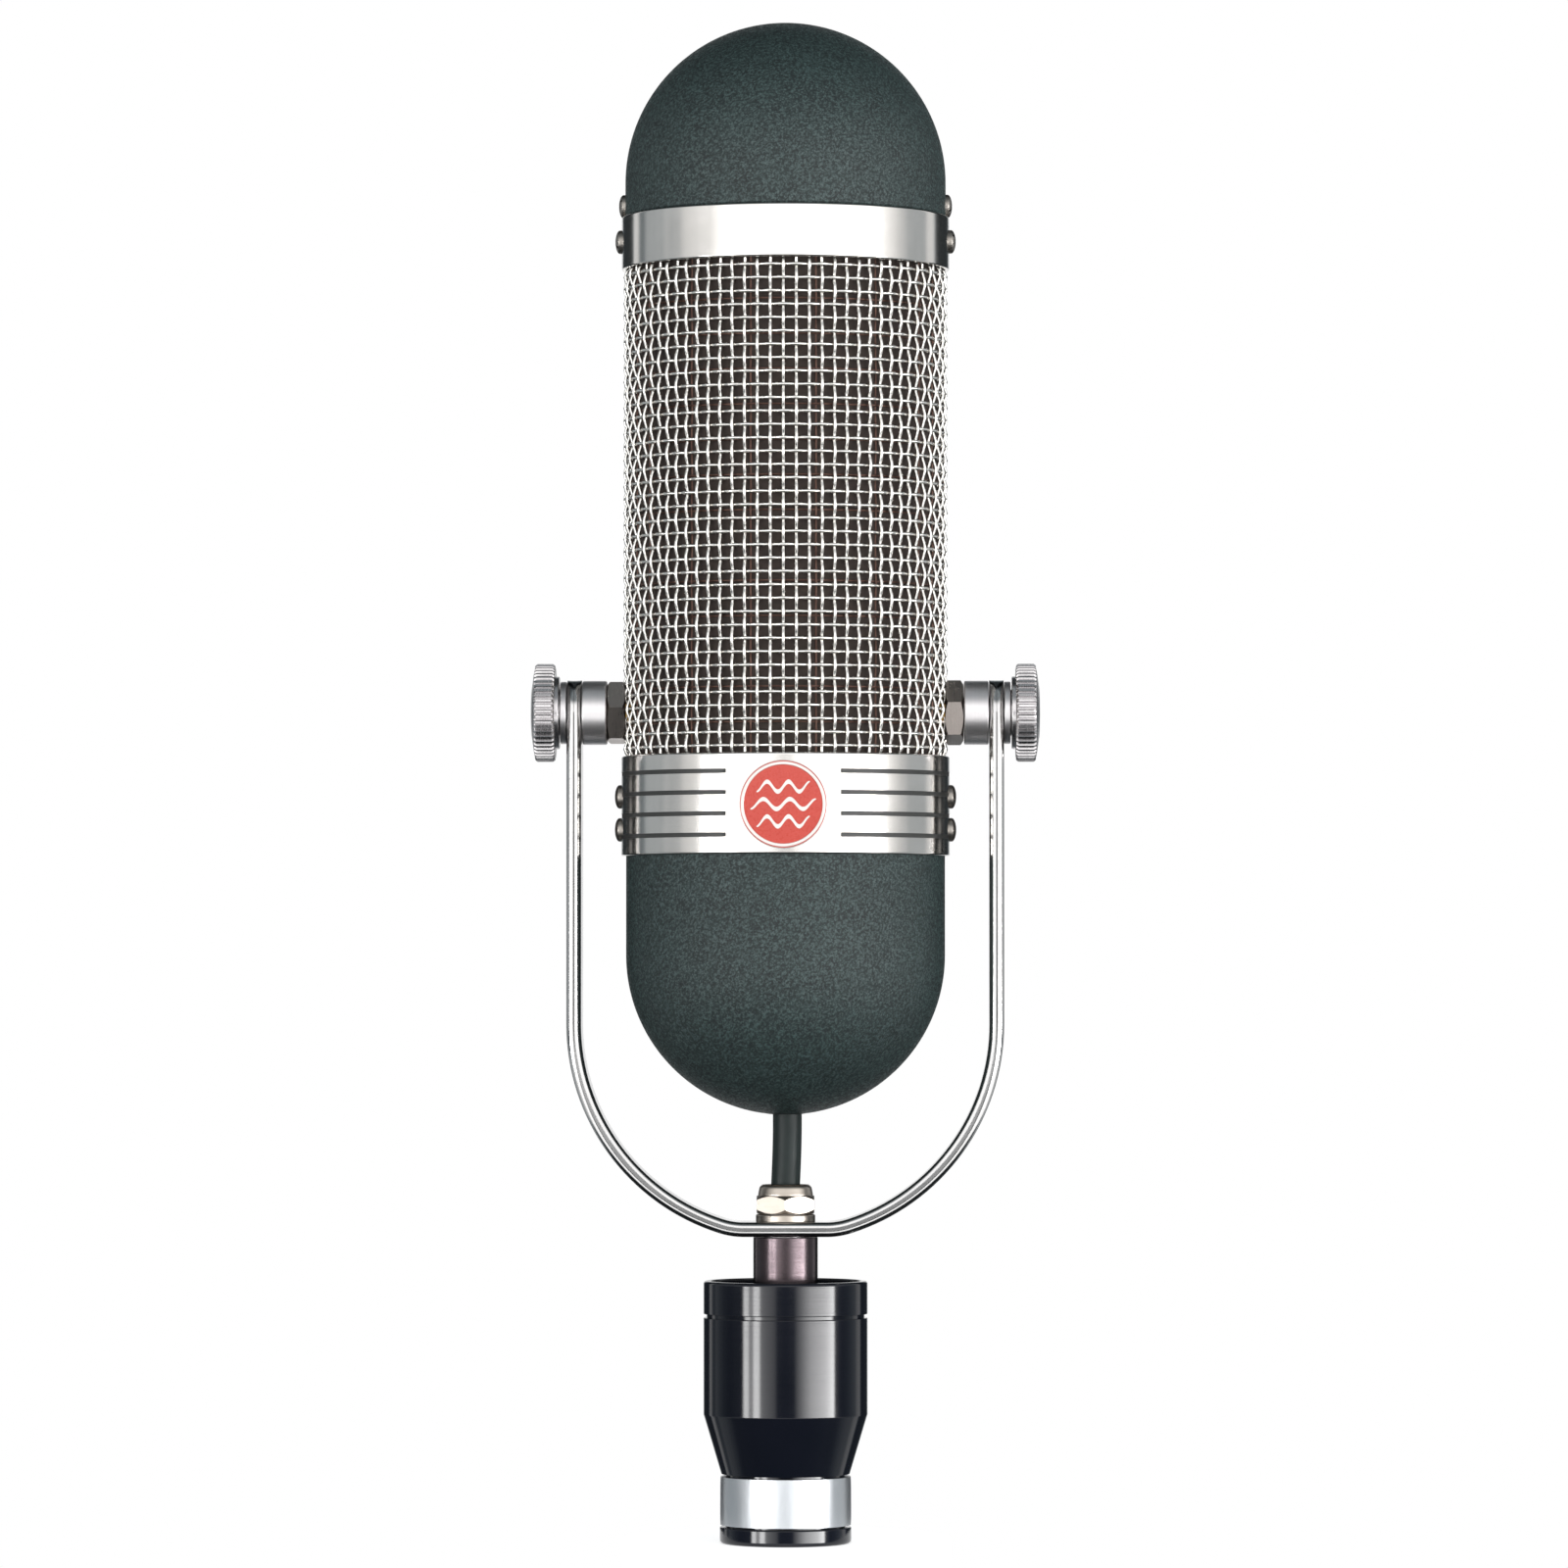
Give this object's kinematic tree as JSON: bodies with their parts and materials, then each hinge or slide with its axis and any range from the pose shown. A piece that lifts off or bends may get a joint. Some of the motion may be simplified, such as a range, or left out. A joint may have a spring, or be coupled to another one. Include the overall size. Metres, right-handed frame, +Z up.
{
  "type": "ribbon microphone",
  "caption": "Pill-shaped ribbon microphone: woven wire grille, polished bands, round badge, tilting in a U-shaped yoke that swivels on a stand coupler.",
  "frame": {"origin": "centre of the stand socket's mouth, on the flat bottom face of the coupler", "axes": "+Z up along the coupler, post and head; the badge faces -Y; +X is the tilt axis, to the right seen from the front"},
  "size_m": [0.0988, 0.0641, 0.2947],
  "materials": {
    "charcoal_paint": "fine wrinkle paint, satin",
    "polished_nickel": "polished nickel plate",
    "nickel_wire": "bright drawn wire",
    "bronze_wire": "dull, darkened",
    "lining_cloth": "dark open weave",
    "turned_steel": "turned, satin",
    "dark_steel": "dark oxide, satin",
    "black_finish": "black, semi-gloss",
    "silver_foil": "thin bright foil",
    "black_rubber": "matt",
    "nylon": "matt",
    "red_enamel": "glossy enamel",
    "brass": "machined",
    "cast_aluminium": "machined casting",
    "soft_iron": "ground",
    "magnet_alloy": "rough cast",
    "phenolic": "paper laminate",
    "ribbon_foil": "corrugated leaf",
    "copper_winding": "enamelled wire under tape"
  },
  "bodies": {
    "coupler": {"coupler_shell": "black_finish", "stand_insert": "brass", "bottom_ring": "black_finish", "label_band": "silver_foil", "isolator_bush": "black_rubber", "isolator_cover": "dark_steel", "cable_gland": "black_rubber", "post_tube": "dark_steel", "hollow_stud": "turned_steel", "yoke_washer": "nickel_wire", "yoke_nut": "nickel_wire", "yoke_nut_insert": "nylon", "cable_tail": "black_rubber"},
    "yoke": {"yoke_strap": "polished_nickel", "link_cable": "black_rubber"},
    "head": {"top_dome": "charcoal_paint", "top_band": "polished_nickel", "lower_band": "polished_nickel", "badge_bezel": "polished_nickel", "badge_enamel": "red_enamel", "lower_housing": "charcoal_paint", "cable_grommet": "black_rubber", "grille_mesh": "nickel_wire", "support_grid": "bronze_wire", "acoustic_screen": "lining_cloth", "top_plate": "cast_aluminium", "base_plate": "cast_aluminium", "magnet_stand": "cast_aluminium", "horseshoe_magnet": "magnet_alloy", "clamp_block_bottom": "phenolic", "clamp_block_top": "phenolic", "ribbon_clamp_bottom": "brass", "ribbon_clamp_top": "brass", "ribbon": "ribbon_foil", "transformer_core": "soft_iron", "transformer_coil": "copper_winding", "transformer_bracket": "cast_aluminium", "dome_screw_left": "nickel_wire", "top_band_screw_left": "nickel_wire", "low_band_screw_upper_left": "nickel_wire", "low_band_screw_lower_left": "nickel_wire", "frame_rail_left": "cast_aluminium", "pivot_bush_left": "brass", "pivot_nut_left": "turned_steel", "pivot_spacer_left": "turned_steel", "pole_piece_left": "soft_iron", "dome_screw_right": "nickel_wire", "top_band_screw_right": "nickel_wire", "low_band_screw_upper_right": "nickel_wire", "low_band_screw_lower_right": "nickel_wire", "frame_rail_right": "cast_aluminium", "pivot_bush_right": "brass", "pivot_nut_right": "turned_steel", "pivot_spacer_right": "turned_steel", "pole_piece_right": "soft_iron"},
    "left_washer": {"clamp_washer_left": "turned_steel"},
    "right_washer": {"clamp_washer_right": "turned_steel"},
    "left_knob": {"clamp_knob_left": "turned_steel"},
    "right_knob": {"clamp_knob_right": "turned_steel"}
  },
  "joints": [
    {"name": "yoke_swivel", "type": "hinge", "parent": "coupler", "child": "yoke", "pos_m": [0, 0, 0.0593], "axis": [0, 0, 1], "range_deg": [-170, 170]},
    {"name": "head_tilt", "type": "hinge", "parent": "yoke", "child": "head", "pos_m": [0, 0, 0.1607], "axis": [1, 0, 0], "range_deg": [-25, 25], "deforming": ["link_cable"]},
    {"name": "left_washer_slide", "type": "slide", "parent": "head", "child": "left_washer", "axis": [-1, 0, 0], "range_m": [0, 0.00254]},
    {"name": "left_knob_turn", "type": "hinge", "parent": "left_washer", "child": "left_knob", "pos_m": [0, 0, 0.1607], "axis": [-1, 0, 0], "range_deg": [0, 720]},
    {"name": "right_washer_slide", "type": "slide", "parent": "head", "child": "right_washer", "axis": [1, 0, 0], "range_m": [0, 0.00254]},
    {"name": "right_knob_turn", "type": "hinge", "parent": "right_washer", "child": "right_knob", "pos_m": [0, 0, 0.1607], "axis": [1, 0, 0], "range_deg": [0, 720]}
  ],
  "couplings": [
    {"joint": "left_knob_turn", "follows": "left_washer_slide", "rad_per_m": 4947.3},
    {"joint": "right_knob_turn", "follows": "right_washer_slide", "rad_per_m": 4947.3}
  ]
}
